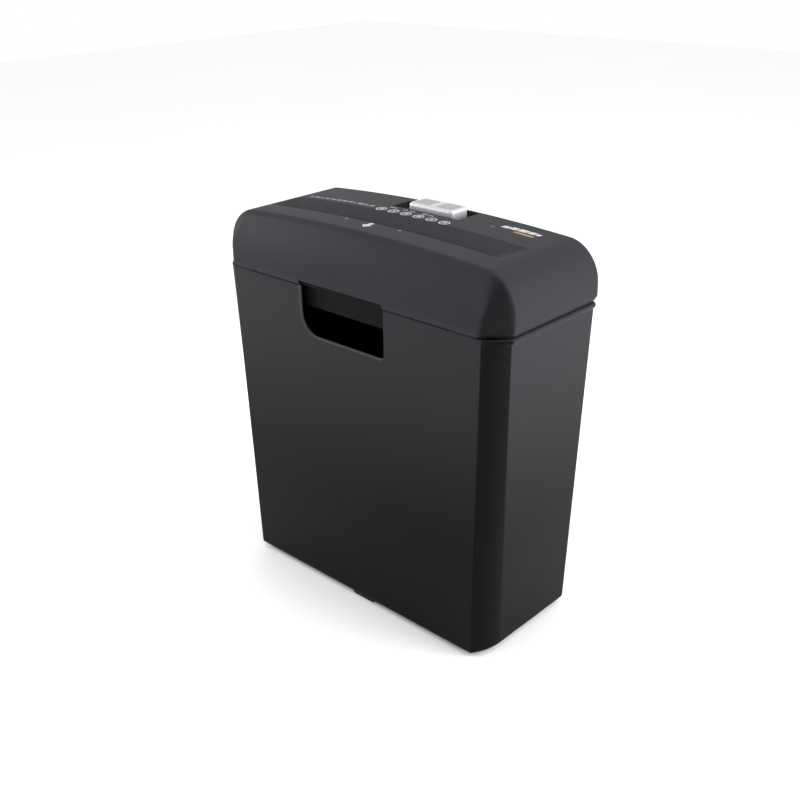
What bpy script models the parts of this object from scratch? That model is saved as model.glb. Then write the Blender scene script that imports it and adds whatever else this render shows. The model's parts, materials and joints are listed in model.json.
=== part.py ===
"""Paper shredder: a motor and cutter head that lifts off a tapered waste bin.

Metres, +Z up. X runs along the paper slot, -Y is the front with the hand hole, and the origin is
on the floor under the middle of the object.
"""

import math

import bmesh
import bpy
from mathutils import Matrix, Vector

# ---- driving dimensions -------------------------------------------------------------------------
GAP = 0.0003  # between pieces that touch
WALL = 0.0025  # moulded walls

FOOT_HEIGHT = 0.004
BIN_FLOOR_Z = FOOT_HEIGHT + GAP
SEAM_Z = 0.291  # where the head meets the bin
TOP_Z = 0.344
TOP_CROWN = 0.0036  # how far the top falls from its middle to the start of its round ends

# bin outline: half width of the flat front, half width over the sides, half depth, depth of the
# corner band that joins them
BIN_BOTTOM = (0.1332, 0.1425, 0.0600, 0.0265)
BIN_TOP = (0.1408, 0.1562, 0.0621, 0.0155)
BAND_BULGE = 0.0022
BAND_STEPS = 4
BACK_CORNER_RADIUS = 0.0045  # the back corners are plainly rounded

HEAD_HALF_WIDTH = 0.1585
HEAD_HALF_DEPTH = 0.0645
HEAD_BEVEL = 0.0150  # depth of the bevel round the front of the head
HEAD_BACK_BEVEL = 0.0030
END_RADIUS_X = 0.0300
END_RADIUS_Z = 0.0340
END_STEPS = 6
LIP_UNDERCUT = 0.0022
LIP_HEIGHT = 0.0050

TRAY_FLOOR_Z = 0.2710
TRAY_HALF_WIDTH = 0.1400
TRAY_HALF_DEPTH = 0.0562
TRAY_SHIFT_Y = 0.0013  # the tray sits back from the hand hole
FLANGE_INSET = 0.0022
FLANGE_THICKNESS = 0.0022
OUTLET_LOW = (-0.1160, -0.0340, 0.2600)  # where the strips fall out of the tray
OUTLET_HIGH = (0.1060, 0.0100, 0.2745)

WINDOW_X = (-0.0560, 0.0395)
WINDOW_SILL_Z = 0.2460
WINDOW_RADIUS = 0.0140

SLOT_Y = -0.0120
SLOT_WIDTH = 0.0056
SLOT_X = (-0.1160, 0.1060)
THROAT_X = (-0.1300, 0.1280)
THROAT_Y = (-0.0205, 0.0115)
THROAT_FLOOR_Z = 0.3230
THROAT_NECK = 0.0040  # upright part under the slopes
CUT_PAST = 0.0200  # how far cutters run past the top

RECESS_X = (-0.0310, 0.0410)
RECESS_Y = (0.0290, 0.0570)
RECESS_DEPTH = 0.0060
SLIDER_X = (-0.0190, 0.0290)
SLIDER_TOP_Z = 0.3490
SLIDER_STEM = 0.0060
SLIDER_PLAY_Y = 0.0020

CUTTER_SPACING = 0.0260
CUTTER_Z = 0.3040
CUTTER_RADIUS = 0.0155
CORE_RADIUS = 0.0092
SHAFT_RADIUS = 0.0050
CUTTER_ZONE = (-0.1175, 0.1075)
DISC_COUNT = 12
DISC_WIDTH = 0.0086

LEFT_PLATE_X = -0.1225
RIGHT_PLATE_X = 0.1105
PLATE_THICKNESS = 0.0020
PLATE_Y = (-0.0460, 0.0535)
PLATE_Z = (0.2760, 0.3215)
BUSH_HOLE_RADIUS = 0.0083
BUSH_RADII = (0.0053, 0.0079)  # bore and outside
ROD_RADIUS = 0.0028
ROD_CENTRES = {"front": (-0.0415, 0.3165), "rear": (0.0495, 0.2795), "lower": (-0.0415, 0.2815)}
COMB_CLEARANCE = 0.0012
COMB_DEPTH = 0.0035
COMB_THICKNESS = 0.0030

MOTOR_AXIS = (0.0370, 0.3020)  # y and z
MOTOR_RADIUS = 0.0190
MOTOR_X = (-0.0100, 0.1000)
MOTOR_SHAFT_RADIUS = 0.0025
MAGNET_RADIUS = 0.0130  # inside of the can and its magnets
ARMATURE_RADIUS = 0.0095
ARMATURE_X = (0.0080, 0.0780)
FAN_X = (-0.0300, -0.0215)
FAN_RADII = (0.0055, 0.0165)  # hub and blade tips
FAN_BLADES = 7

# gear pairs, each (driver teeth, driven teeth, module), from the motor to the rear cutter
FIRST_STAGE = (12, 30, 0.0010)
SECOND_STAGE = (12, 26, 0.0011)
THIRD_STAGE = (12, 28, 0.0015)
CUTTER_PAIR = (13, 13, 0.0020)
FIRST_IDLER_ANGLE = math.radians(120)  # direction of the first idler from the motor
FIRST_GEAR_X = (0.1160, 0.1205)
SECOND_GEAR_X = (0.1220, 0.1265)
THIRD_GEAR_X = (0.1280, 0.1335)
CUTTER_GEAR_X = (-0.1320, -0.1240)
IDLER_PIN_RADIUS = 0.0025
KEYED_GAP = 0.0004  # round a gear that is keyed to its shaft
OUTER_PLATE_X = (0.1345, 0.1360)
OUTER_PLATE_Y = (0.0040, 0.0395)
OUTER_PLATE_TOP = 0.3250

FASTENER_X = 0.1465
FASTENER_Y = 0.0460
BOSS_RADIUS = 0.0036
PILOT_RADIUS = 0.0022
SCREW_HOLE_RADIUS = 0.0024
INTERLOCK = (-0.1465, 0.0000)
PAD_DROP = 0.0015  # the pad's top below the bin's rim
PLUNGER_TOP_Z = 0.3030
PLUNGER_TRAVEL = 0.0030
SENSOR_X = -0.0050
SENSOR_PIVOT = (0.0120, 0.3290)
INLET_X = -0.1100
INLET_Z = 0.3030

BOARD_LOW = (-0.1050, 0.0180, 0.2800)
BOARD_HIGH = (-0.0420, 0.0455, 0.2816)
BOARD_PARTS_Z = BOARD_HIGH[2] + GAP


# ---- scene and materials ------------------------------------------------------------------------
def clear_scene():
    for obj in list(bpy.data.objects):
        bpy.data.objects.remove(obj, do_unlink=True)


def material(name, colour, roughness, metallic=0.0):
    made = bpy.data.materials.get(name)
    if made is None:
        made = bpy.data.materials.new(name)
        made.use_nodes = True
        shader = made.node_tree.nodes["Principled BSDF"]
        shader.inputs["Base Color"].default_value = (*colour, 1)
        shader.inputs["Roughness"].default_value = roughness
        shader.inputs["Metallic"].default_value = metallic
        made.diffuse_color = (*colour, 1)
    return made


def black_plastic():
    return material("black_plastic", (0.020, 0.020, 0.023), 0.55)


def dark_plastic():
    return material("dark_plastic", (0.012, 0.012, 0.013), 0.65)


def silver_plastic():
    return material("silver_plastic", (0.55, 0.55, 0.56), 0.35, 0.3)


def steel():
    return material("steel", (0.50, 0.50, 0.52), 0.35, 1.0)


def gear_plastic():
    return material("gear_plastic", (0.75, 0.73, 0.68), 0.45)


def rubber():
    return material("rubber", (0.015, 0.015, 0.015), 0.85)


def board_green():
    return material("circuit_board", (0.02, 0.16, 0.06), 0.5)


# ---- building blocks ----------------------------------------------------------------------------
def finish_mesh(name, bm, finish, smooth=False):
    """Makes an object of the mesh, in the scene, with its faces pointing out."""
    bmesh.ops.recalc_face_normals(bm, faces=bm.faces)
    mesh = bpy.data.meshes.new(name)
    bm.to_mesh(mesh)
    bm.free()
    if smooth:
        mesh.shade_smooth()
        mesh.set_sharp_from_angle(angle=math.radians(35))
    mesh.materials.append(finish)
    obj = bpy.data.objects.new(name, mesh)
    bpy.context.scene.collection.objects.link(obj)
    return obj


def loft(name, rings, finish, closed=False, smooth=False):
    """Skins rings of equally many points. An open loft is capped, a closed one joins last to first."""
    bm = bmesh.new()
    rows = [[bm.verts.new(point) for point in ring] for ring in rings]
    count = len(rows[0])
    pairs = list(zip(rows, rows[1:]))
    if closed:
        pairs.append((rows[-1], rows[0]))
    for lower, upper in pairs:
        for i in range(count):
            j = (i + 1) % count
            bm.faces.new((lower[i], lower[j], upper[j], upper[i]))
    if not closed:
        bm.faces.new(rows[0])
        bm.faces.new(rows[-1])
    return finish_mesh(name, bm, finish, smooth)


def box(name, low, high, finish, bevel=0.0):
    """A block from its low corner to its high one, with its edges chamfered by the bevel."""
    bm = bmesh.new()
    bmesh.ops.create_cube(bm, size=1.0)
    size = Vector(high) - Vector(low)
    middle = (Vector(high) + Vector(low)) / 2
    placing = Matrix.Translation(middle) @ Matrix.Diagonal((*size, 1))
    bmesh.ops.transform(bm, matrix=placing, verts=bm.verts)
    obj = finish_mesh(name, bm, finish)
    if bevel:
        modifier = obj.modifiers.new("edges", "BEVEL")
        modifier.width = bevel
        modifier.segments = 1
        modifier.limit_method = "ANGLE"
    return obj


def place_on(axis, across, along):
    """A point from its two coordinates across an axis and its place along it."""
    u, v = across
    return {"X": (along, u, v), "Y": (u, along, v), "Z": (u, v, along)}[axis]


def circle(radius, centre, count, turn=0.0):
    u, v = centre
    angles = [turn + math.tau * i / count for i in range(count)]
    return [(u + radius * math.cos(a), v + radius * math.sin(a)) for a in angles]


def turned(name, profile, centre, finish, axis="X", count=12):
    """A solid of revolution; profile is (radius, place along the axis) from one end to the other."""
    rings = [
        [place_on(axis, point, along) for point in circle(radius, centre, count)]
        for radius, along in profile
    ]
    return loft(name, rings, finish, smooth=True)


def tube(name, inner, outer, ends, centre, finish, axis="X", count=12):
    """A round pipe between its two ends."""
    profile = ((outer, ends[0]), (outer, ends[1]), (inner, ends[1]), (inner, ends[0]))
    rings = [
        [place_on(axis, point, along) for point in circle(radius, centre, count)]
        for radius, along in profile
    ]
    return loft(name, rings, finish, closed=True, smooth=True)


def prism(name, outline, ends, finish, axis="X"):
    """An outline drawn across an axis, pulled along it from end to end."""
    rings = [[place_on(axis, point, along) for point in outline] for along in ends]
    return loft(name, rings, finish)


def boolean(obj, tool, operation="DIFFERENCE"):
    """Cuts or joins with a helper, which is kept out of the model."""
    modifier = obj.modifiers.new(tool.name, "BOOLEAN")
    modifier.operation = operation
    modifier.object = tool
    modifier.solver = "EXACT"
    tool.hide_render = True
    tool.display_type = "WIRE"
    return obj


def drill(obj, radius, centre, ends, axis="X", count=12):
    """Cuts a round hole."""
    profile = ((radius, ends[0]), (radius, ends[1]))
    return boolean(obj, turned(obj.name + "_drill", profile, centre, steel(), axis, count))


def pivot_at(name, point):
    """Moves an object's origin to a point on its joint's axis, and leaves its shape where it is."""
    obj = bpy.data.objects[name]
    obj.data.transform(Matrix.Translation(-Vector(point)))
    obj.location = point


# ---- waste bin ----------------------------------------------------------------------------------
def bin_outline(sizes, inset=0.0):
    """Plan of the bin or of what fits it: convex bands at the front corners, small rounds at the back."""
    face, side, depth, band = sizes
    face -= inset * 0.55
    side -= inset
    depth -= inset
    corner, back_right = [], []
    rounding = max(BACK_CORNER_RADIUS - inset, 0.0012)
    start, end = Vector((face, depth)), Vector((side, depth - band))
    normal = Vector((band, side - face)).normalized()
    for i in range(BAND_STEPS + 1):
        share = i / BAND_STEPS
        point = start.lerp(end, share) + normal * BAND_BULGE * math.sin(math.pi * share)
        corner.append((point.x, point.y))
        angle = math.radians(90 * (1 - share))
        back_right.append((
            side - rounding + rounding * math.cos(angle),
            depth - rounding + rounding * math.sin(angle),
        ))
    front_right = [(x, -y) for x, y in reversed(corner)]
    front_left = [(-x, -y) for x, y in corner]
    back_left = [(-x, y) for x, y in reversed(back_right)]
    return back_right + front_right + front_left + back_left


def at_height(outline, z):
    return [(x, y, z) for x, y in outline]


def bin_sizes_at(z):
    share = (z - BIN_FLOOR_Z) / (SEAM_Z - BIN_FLOOR_Z)
    return tuple(low + (high - low) * share for low, high in zip(BIN_BOTTOM, BIN_TOP))


def rounded_notch(x_range, low, high, radius, steps=4):
    """Outline in X and Z of an opening with round lower corners."""
    points = [(x_range[0], high)]
    for side, start in ((x_range[0] + radius, 180), (x_range[1] - radius, 270)):
        for i in range(steps + 1):
            angle = math.radians(start + 90 * i / steps)
            points.append((side + radius * math.cos(angle), low + radius + radius * math.sin(angle)))
    points.append((x_range[1], high))
    return points


def waste_bin():
    rim = SEAM_Z - GAP
    heel = 0.0025
    rings = [
        at_height(bin_outline(BIN_BOTTOM, 0.0020), BIN_FLOOR_Z),
        at_height(bin_outline(bin_sizes_at(BIN_FLOOR_Z + heel)), BIN_FLOOR_Z + heel),
        at_height(bin_outline(BIN_TOP), rim),
        at_height(bin_outline(BIN_TOP, WALL), rim),
        at_height(bin_outline(bin_sizes_at(BIN_FLOOR_Z + WALL), WALL), BIN_FLOOR_Z + WALL),
    ]
    body = loft("waste_bin", rings, black_plastic())
    window = rounded_notch(WINDOW_X, WINDOW_SILL_Z, SEAM_Z + 0.01, WINDOW_RADIUS)
    boolean(body, prism("window_cutter", window, (-0.075, -0.050), black_plastic(), "Y"))
    pad_x, pad_y = INTERLOCK
    pad = box(
        "interlock_pad",
        (pad_x - 0.0085, pad_y - 0.006, rim - 0.0060),
        (pad_x + 0.0035, pad_y + 0.006, rim - PAD_DROP),
        black_plastic(),
    )
    boolean(body, pad, "UNION")


def feet():
    """A lobe under the middle of the front edge, and four rubber pads set in from the corners."""
    lobe = rounded_notch((-0.010, 0.018), 0.0, FOOT_HEIGHT, 0.0036, 3)
    prism("foot_front_centre", lobe, (-0.0575, -0.0490), black_plastic(), "Y")
    for side, x in (("left", -0.108), ("right", 0.108)):
        for end, y in (("front", -0.036), ("rear", 0.036)):
            profile = ((0.0095, 0.0), (0.0105, 0.0010), (0.0105, FOOT_HEIGHT))
            turned(f"foot_{side}_{end}", profile, (x, y), rubber(), "Z", 16)


# ---- head cover ---------------------------------------------------------------------------------
def head_arch(inset_x, inset_z, low, undercut=LIP_UNDERCUT):
    """Front view of the head: an undercut lip, upright sides, round ends and a crowned top."""
    width = HEAD_HALF_WIDTH - inset_x
    top = TOP_Z - inset_z
    radius_x, radius_z = END_RADIUS_X, END_RADIUS_Z - inset_z * 0.60
    centre_x, centre_z = width - radius_x, top - TOP_CROWN - radius_z
    half = [(width - undercut, low), (width, low + LIP_HEIGHT)]
    for i in range(END_STEPS + 1):
        angle = math.radians(90 * i / END_STEPS)
        half.append((centre_x + radius_x * math.cos(angle), centre_z + radius_z * math.sin(angle)))
    for share in (0.6, 0.25):
        half.append((centre_x * share, top - TOP_CROWN * share**2))
    return half + [(-x, z) for x, z in reversed(half)]


def head_rings(shrink, low, undercut):
    """Rings along Y. The front has a broad bevel all round, and the back only an eased edge."""
    depth = HEAD_HALF_DEPTH - shrink
    sections = (
        (0.0190, 0.0210, -depth),
        (0.0070, 0.0085, -depth + HEAD_BEVEL * 0.40),
        (0.0, 0.0, -depth + HEAD_BEVEL),
        (0.0, 0.0, depth - HEAD_BACK_BEVEL),
        (0.0008, 0.0010, depth - HEAD_BACK_BEVEL * 0.40),
        (0.0026, 0.0032, depth),
    )
    rings = []
    for inset_x, inset_z, y in sections:
        arch = head_arch(inset_x + shrink, inset_z + shrink, low, undercut)
        rings.append([(x, y, z) for x, z in arch])
    return rings


def funnel(name, grow, floor_z):
    """The paper throat: steep in front, sloping behind, flared at both ends."""
    half_slot = SLOT_WIDTH / 2 + grow

    def ring(x_range, y_range, z):
        x0, x1 = x_range
        y0, y1 = y_range
        return [(x0, y0, z), (x1, y0, z), (x1, y1, z), (x0, y1, z)]

    wide_x = (THROAT_X[0] - grow, THROAT_X[1] + grow)
    wide_y = (THROAT_Y[0] - grow, THROAT_Y[1] + grow)
    narrow_x = (SLOT_X[0] - grow, SLOT_X[1] + grow)
    narrow_y = (SLOT_Y - half_slot, SLOT_Y + half_slot)
    rings = [
        ring(narrow_x, narrow_y, floor_z),
        ring(narrow_x, narrow_y, THROAT_FLOOR_Z + THROAT_NECK),
        ring(wide_x, wide_y, TOP_Z + 0.0005),
        ring(wide_x, wide_y, TOP_Z + CUT_PAST),
    ]
    return loft(name, rings, black_plastic())


def at_corners(make):
    """Calls make(name_end, centre) for each of the four fasteners."""
    for side, x in (("left", -FASTENER_X), ("right", FASTENER_X)):
        for end, y in (("front", -FASTENER_Y), ("rear", FASTENER_Y)):
            make(f"{side}_{end}", (x, y))


def head_hollow():
    """The space inside the cover, less the walls of the throat, the switch pocket and the screw bosses."""
    hollow = loft("head_hollow", head_rings(WALL, SEAM_Z - 0.006, 0.0), black_plastic())
    boolean(hollow, funnel("throat_walls", WALL, THROAT_FLOOR_Z))
    pocket = box(
        "switch_pocket",
        (RECESS_X[0] - WALL, RECESS_Y[0] - WALL, TOP_Z - RECESS_DEPTH - WALL),
        (RECESS_X[1] + WALL, RECESS_Y[1] + WALL, TOP_Z + CUT_PAST),
        black_plastic(),
    )
    boolean(hollow, pocket)

    def boss(name, centre):
        profile = ((BOSS_RADIUS, SEAM_Z + 0.0040), (BOSS_RADIUS, TOP_Z + CUT_PAST))
        boolean(hollow, turned("boss_" + name, profile, centre, black_plastic(), "Z", 10))

    at_corners(boss)
    return hollow


def head_cover():
    cover = loft("head_cover", head_rings(0.0, SEAM_Z, LIP_UNDERCUT), black_plastic(), smooth=True)
    boolean(cover, head_hollow())
    boolean(cover, funnel("throat_cutter", 0.0, THROAT_FLOOR_Z - 0.002))
    recess = box(
        "recess_cutter",
        (RECESS_X[0], RECESS_Y[0], TOP_Z - RECESS_DEPTH),
        (RECESS_X[1], RECESS_Y[1], TOP_Z + CUT_PAST),
        black_plastic(),
    )
    boolean(cover, recess)
    stem_x = (SLIDER_X[0] + SLIDER_X[1]) / 2
    stem_y = (RECESS_Y[0] + RECESS_Y[1]) / 2
    stem_slot = box(
        "stem_slot",
        (stem_x - 0.014, stem_y - 0.005, TOP_Z - 0.020),
        (stem_x + 0.014, stem_y + 0.005, TOP_Z - RECESS_DEPTH + 0.002),
        black_plastic(),
    )
    boolean(cover, stem_slot)
    notch = box(
        "sensor_notch",
        (SENSOR_X - 0.0025, SLOT_Y - 0.001, THROAT_FLOOR_Z - 0.003),
        (SENSOR_X + 0.0025, 0.006, 0.3325),
        black_plastic(),
    )
    boolean(cover, notch)
    drill(cover, 0.0063, (INLET_X, INLET_Z), (0.050, 0.075), "Y", 16)

    def pilot(name, centre):
        profile = ((PILOT_RADIUS, SEAM_Z), (PILOT_RADIUS, SEAM_Z + 0.0140))
        boolean(cover, turned("pilot_" + name, profile, centre, black_plastic(), "Z", 8))

    at_corners(pilot)


# ---- head base ----------------------------------------------------------------------------------
def head_base():
    """Tray under the mechanism, with a flange that sits on the bin's rim and an outlet for the strips."""
    tray = (0.1300, TRAY_HALF_WIDTH, TRAY_HALF_DEPTH, 0.0120)
    underside = SEAM_Z + GAP
    flange_top = underside + FLANGE_THICKNESS

    def tray_outline(inset):
        return [(x, y + TRAY_SHIFT_Y) for x, y in bin_outline(tray, inset)]

    rings = [
        at_height(tray_outline(0.0010), TRAY_FLOOR_Z),
        at_height(tray_outline(0.0), underside),
        at_height(bin_outline(BIN_TOP, FLANGE_INSET), underside),
        at_height(bin_outline(BIN_TOP, FLANGE_INSET), flange_top),
        at_height(tray_outline(WALL), flange_top),
        at_height(tray_outline(WALL + 0.0010), TRAY_FLOOR_Z + WALL),
    ]
    base = loft("head_base", rings, dark_plastic())
    boolean(base, box("outlet_cutter", OUTLET_LOW, OUTLET_HIGH, dark_plastic()))
    hole_ends = (underside - 0.010, flange_top + 0.010)

    def hole(name, centre):
        profile = ((SCREW_HOLE_RADIUS, hole_ends[0]), (SCREW_HOLE_RADIUS, hole_ends[1]))
        boolean(base, turned("base_hole_" + name, profile, centre, dark_plastic(), "Z", 8))

    at_corners(hole)
    drill(base, SCREW_HOLE_RADIUS, INTERLOCK, hole_ends, "Z", 10)


def base_screws():
    underside = SEAM_Z + GAP
    profile = (
        (0.0024, underside - 0.0022),
        (0.0032, underside - 0.0012),
        (0.0032, underside - GAP),
        (0.0017, underside - GAP),
        (0.0017, underside + 0.0110),
    )
    at_corners(lambda name, centre: turned("base_screw_" + name, profile, centre, steel(), "Z", 10))


# ---- cutters and their frame --------------------------------------------------------------------
def cutter_axis(which):
    side = -1 if which == "front" else 1
    return (SLOT_Y + side * CUTTER_SPACING / 2, CUTTER_Z)


def disc_starts(which):
    """Left faces of one cutter's discs. The two cutters are half a pitch apart, so they interleave."""
    pitch = (CUTTER_ZONE[1] - CUTTER_ZONE[0] - DISC_WIDTH) / (DISC_COUNT - 0.5)
    first = CUTTER_ZONE[0] + (0.0 if which == "front" else pitch / 2)
    return [first + i * pitch for i in range(DISC_COUNT)]


def cutter(which, right_end):
    """A shaft with cutting discs on a thicker core, and a gear's seat at its left end."""
    left_end = CUTTER_GEAR_X[0] - 0.0020
    core_ends = (CUTTER_ZONE[0] - 0.0018, RIGHT_PLATE_X - 0.0012)
    profile = [(SHAFT_RADIUS, left_end), (SHAFT_RADIUS, core_ends[0]), (CORE_RADIUS, core_ends[0])]
    for start in disc_starts(which):
        end = start + DISC_WIDTH
        profile += [(CORE_RADIUS, start), (CUTTER_RADIUS, start), (CUTTER_RADIUS, end), (CORE_RADIUS, end)]
    profile += [(CORE_RADIUS, core_ends[1]), (SHAFT_RADIUS, core_ends[1]), (SHAFT_RADIUS, right_end)]
    turned(f"cutter_{which}", profile, cutter_axis(which), steel())


def stripper(which, low_z, shift_y):
    """A comb that keeps strips from winding round its cutter: a bar with a finger in each gap."""
    side = -1 if which == "front" else 1
    axis_y, _ = cutter_axis(which)
    starts = disc_starts(which)
    tip = axis_y + side * (CORE_RADIUS + COMB_CLEARANCE) + shift_y
    root = axis_y + side * (CUTTER_RADIUS + COMB_CLEARANCE) + shift_y
    back = root + side * COMB_DEPTH
    outline = [(CUTTER_ZONE[0], back), (CUTTER_ZONE[0], root)]
    for this_disc, next_disc in zip(starts, starts[1:]):
        start = this_disc + DISC_WIDTH + COMB_CLEARANCE * 0.7
        end = next_disc - COMB_CLEARANCE * 0.7
        outline += [(start, root), (start, tip), (end, tip), (end, root)]
    outline += [(CUTTER_ZONE[1], root), (CUTTER_ZONE[1], back)]
    prism(f"stripper_{which}", outline, (low_z, low_z + COMB_THICKNESS), steel(), "Z")


def side_plates():
    outline = [(y, z) for y, z in zip((*PLATE_Y, *PLATE_Y[::-1]), (PLATE_Z[0],) * 2 + (PLATE_Z[1],) * 2)]
    for side, x in (("left", LEFT_PLATE_X), ("right", RIGHT_PLATE_X)):
        plate = prism(f"side_plate_{side}", outline, (x, x + PLATE_THICKNESS), steel())
        through = (x - PLATE_THICKNESS, x + 2 * PLATE_THICKNESS)
        profile = ((BUSH_HOLE_RADIUS, through[0]), (BUSH_HOLE_RADIUS, through[1]))
        for which in ("front", "rear"):
            name = f"bush_hole_{side}_{which}"
            boolean(plate, turned(name, profile, cutter_axis(which), steel(), count=16))
        if side == "right":
            drill(plate, 2 * MOTOR_SHAFT_RADIUS, MOTOR_AXIS, through)


def shaft_bushes():
    """Bearings in the plates, each a little proud of the plate on both faces."""
    sides = {
        "left": (LEFT_PLATE_X + 0.0002, LEFT_PLATE_X + PLATE_THICKNESS + 0.0008),
        "right": (RIGHT_PLATE_X - 0.0008, RIGHT_PLATE_X + PLATE_THICKNESS + 0.0014),
    }
    for side, ends in sides.items():
        for which in ("front", "rear"):
            centre = cutter_axis(which)
            tube(f"bush_{side}_{which}", *BUSH_RADII, ends, centre, steel(), count=16)


def tie_rods():
    ends = (LEFT_PLATE_X + PLATE_THICKNESS + GAP, RIGHT_PLATE_X - GAP)
    for name, centre in ROD_CENTRES.items():
        turned(f"tie_rod_{name}", ((ROD_RADIUS, ends[0]), (ROD_RADIUS, ends[1])), centre, steel(), count=10)


# ---- gears --------------------------------------------------------------------------------------
def gear_outline(teeth, module, centre, phase):
    """Straight-sided teeth with running backlash; phase is the direction of one tooth's middle."""
    pitch_radius = teeth * module / 2
    tip, root = pitch_radius + 0.80 * module, pitch_radius - 1.05 * module
    step = math.tau / teeth
    points = []
    for i in range(teeth):
        middle = phase + i * step
        for radius, share in ((root, -0.29), (tip, -0.105), (tip, 0.105), (root, 0.29)):
            angle = middle + share * step
            y = centre[0] + radius * math.cos(angle)
            z = centre[1] + radius * math.sin(angle)
            points.append((y, z))
    return points


def meshing_phase(centre, teeth, phase, other_centre, other_teeth):
    """Phase of the second gear that puts its gap over the first gear's tooth on the line of centres."""
    direction = math.atan2(other_centre[1] - centre[1], other_centre[0] - centre[0])
    share = (direction - phase) * teeth / math.tau
    return direction + math.pi - (0.5 - share) * math.tau / other_teeth


def stage_spacing(stage):
    driver, driven, module = stage
    return (driver + driven) * module / 2


def second_idler_axis(first, cutter_centre):
    """Where the second idler meshes with both the first idler and the rear cutter's gear."""
    reach_first, reach_cutter = stage_spacing(SECOND_STAGE), stage_spacing(THIRD_STAGE)
    start, end = Vector(cutter_centre), Vector(first)
    span = (end - start).length
    along = (reach_cutter**2 - reach_first**2 + span**2) / (2 * span)
    across = math.sqrt(reach_cutter**2 - along**2)
    direction = (end - start) / span
    normal = Vector((direction.y, -direction.x))
    point = start + direction * along + normal * across
    return (point.x, point.y)


def gear_train():
    rear = cutter_axis("rear")
    front = cutter_axis("front")
    reach = stage_spacing(FIRST_STAGE)
    first = (
        MOTOR_AXIS[0] + reach * math.cos(FIRST_IDLER_ANGLE),
        MOTOR_AXIS[1] + reach * math.sin(FIRST_IDLER_ANGLE),
    )
    second = second_idler_axis(first, rear)

    pinion_teeth, first_teeth, fine = FIRST_STAGE
    small_one, second_teeth, medium = SECOND_STAGE
    small_two, final_teeth, coarse = THIRD_STAGE
    pinion_phase = 0.0
    first_phase = meshing_phase(MOTOR_AXIS, pinion_teeth, pinion_phase, first, first_teeth)
    second_phase = meshing_phase(first, small_one, first_phase, second, second_teeth)
    final_phase = meshing_phase(second, small_two, second_phase, rear, final_teeth)

    pinion = prism(
        "motor_pinion",
        gear_outline(pinion_teeth, fine, MOTOR_AXIS, pinion_phase),
        (FIRST_GEAR_X[0] - 0.0005, FIRST_GEAR_X[1] + 0.0003),
        steel(),
    )
    drill(pinion, MOTOR_SHAFT_RADIUS + GAP, MOTOR_AXIS, (0.110, 0.130))

    compound_gear(
        "reduction_gear_1",
        gear_outline(first_teeth, fine, first, first_phase),
        FIRST_GEAR_X,
        gear_outline(small_one, medium, first, first_phase),
        SECOND_GEAR_X[1] + 0.0005,
        first,
    )
    compound_gear(
        "reduction_gear_2",
        gear_outline(second_teeth, medium, second, second_phase),
        SECOND_GEAR_X,
        gear_outline(small_two, coarse, second, second_phase),
        THIRD_GEAR_X[1] + 0.0005,
        second,
    )
    final_outline = gear_outline(final_teeth, coarse, rear, final_phase)
    final = prism("final_gear", final_outline, THIRD_GEAR_X, gear_plastic())
    drill(final, SHAFT_RADIUS + KEYED_GAP, rear, (THIRD_GEAR_X[0] - 0.003, THIRD_GEAR_X[1] + 0.003))

    teeth, other_teeth, module = CUTTER_PAIR
    front_phase = meshing_phase(rear, teeth, 0.0, front, other_teeth)
    for which, centre, phase in (("rear", rear, 0.0), ("front", front, front_phase)):
        outline = gear_outline(teeth, module, centre, phase)
        gear = prism(f"cutter_gear_{which}", outline, CUTTER_GEAR_X, steel())
        drill(gear, SHAFT_RADIUS + KEYED_GAP, centre, (CUTTER_GEAR_X[0] - 0.003, CUTTER_GEAR_X[1] + 0.003))

    pin_end = OUTER_PLATE_X[0] - GAP
    for name, start, centre in (
        ("gear_pin_1", RIGHT_PLATE_X + PLATE_THICKNESS + GAP, first),
        ("gear_pin_2", SECOND_GEAR_X[0] - 0.0008, second),
    ):
        turned(name, ((IDLER_PIN_RADIUS, start), (IDLER_PIN_RADIUS, pin_end)), centre, steel())
    for gear, (y, z) in (("reduction_gear_1", first), ("reduction_gear_2", second)):
        pivot_at(gear, (SECOND_GEAR_X[0], y, z))


def compound_gear(name, large, large_x, small, small_end, centre):
    """A large and a small gear in one piece, turning on a pin."""
    overlap = 0.001
    gear = prism(name, large, large_x, gear_plastic())
    small_ends = (large_x[1] - overlap, small_end)
    boolean(gear, prism(name + "_small", small, small_ends, gear_plastic()), "UNION")
    drill(gear, IDLER_PIN_RADIUS + GAP, centre, (large_x[0] - 0.003, small_end + 0.003))


def outer_plate():
    """Steel plate that holds the far ends of the idler pins."""
    (front, back), low, high = OUTER_PLATE_Y, PLATE_Z[0], OUTER_PLATE_TOP
    outline = [(front, low), (back, low), (back, high), (front + 0.016, high), (front, high - 0.015)]
    prism("gear_bearing_plate", outline, OUTER_PLATE_X, steel())


# ---- motor --------------------------------------------------------------------------------------
def motor():
    tube("motor_can", MAGNET_RADIUS, MOTOR_RADIUS, MOTOR_X, MOTOR_AXIS, steel(), count=20)
    for name, ends in (
        ("left", (MOTOR_X[0] - 0.0080, MOTOR_X[0] - GAP)),
        ("right", (MOTOR_X[1] + GAP, RIGHT_PLATE_X - GAP)),
    ):
        radii = (MOTOR_SHAFT_RADIUS + 2 * GAP, MOTOR_RADIUS - 0.0005)
        tube(f"motor_end_{name}", *radii, ends, MOTOR_AXIS, dark_plastic(), count=20)
    rotor = (
        (MOTOR_SHAFT_RADIUS, FAN_X[0] - 0.0030),
        (MOTOR_SHAFT_RADIUS, ARMATURE_X[0]),
        (ARMATURE_RADIUS, ARMATURE_X[0]),
        (ARMATURE_RADIUS, ARMATURE_X[1]),
        (MOTOR_SHAFT_RADIUS, ARMATURE_X[1]),
        (MOTOR_SHAFT_RADIUS, FIRST_GEAR_X[1]),
    )
    turned("motor_rotor", rotor, MOTOR_AXIS, steel())


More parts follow.
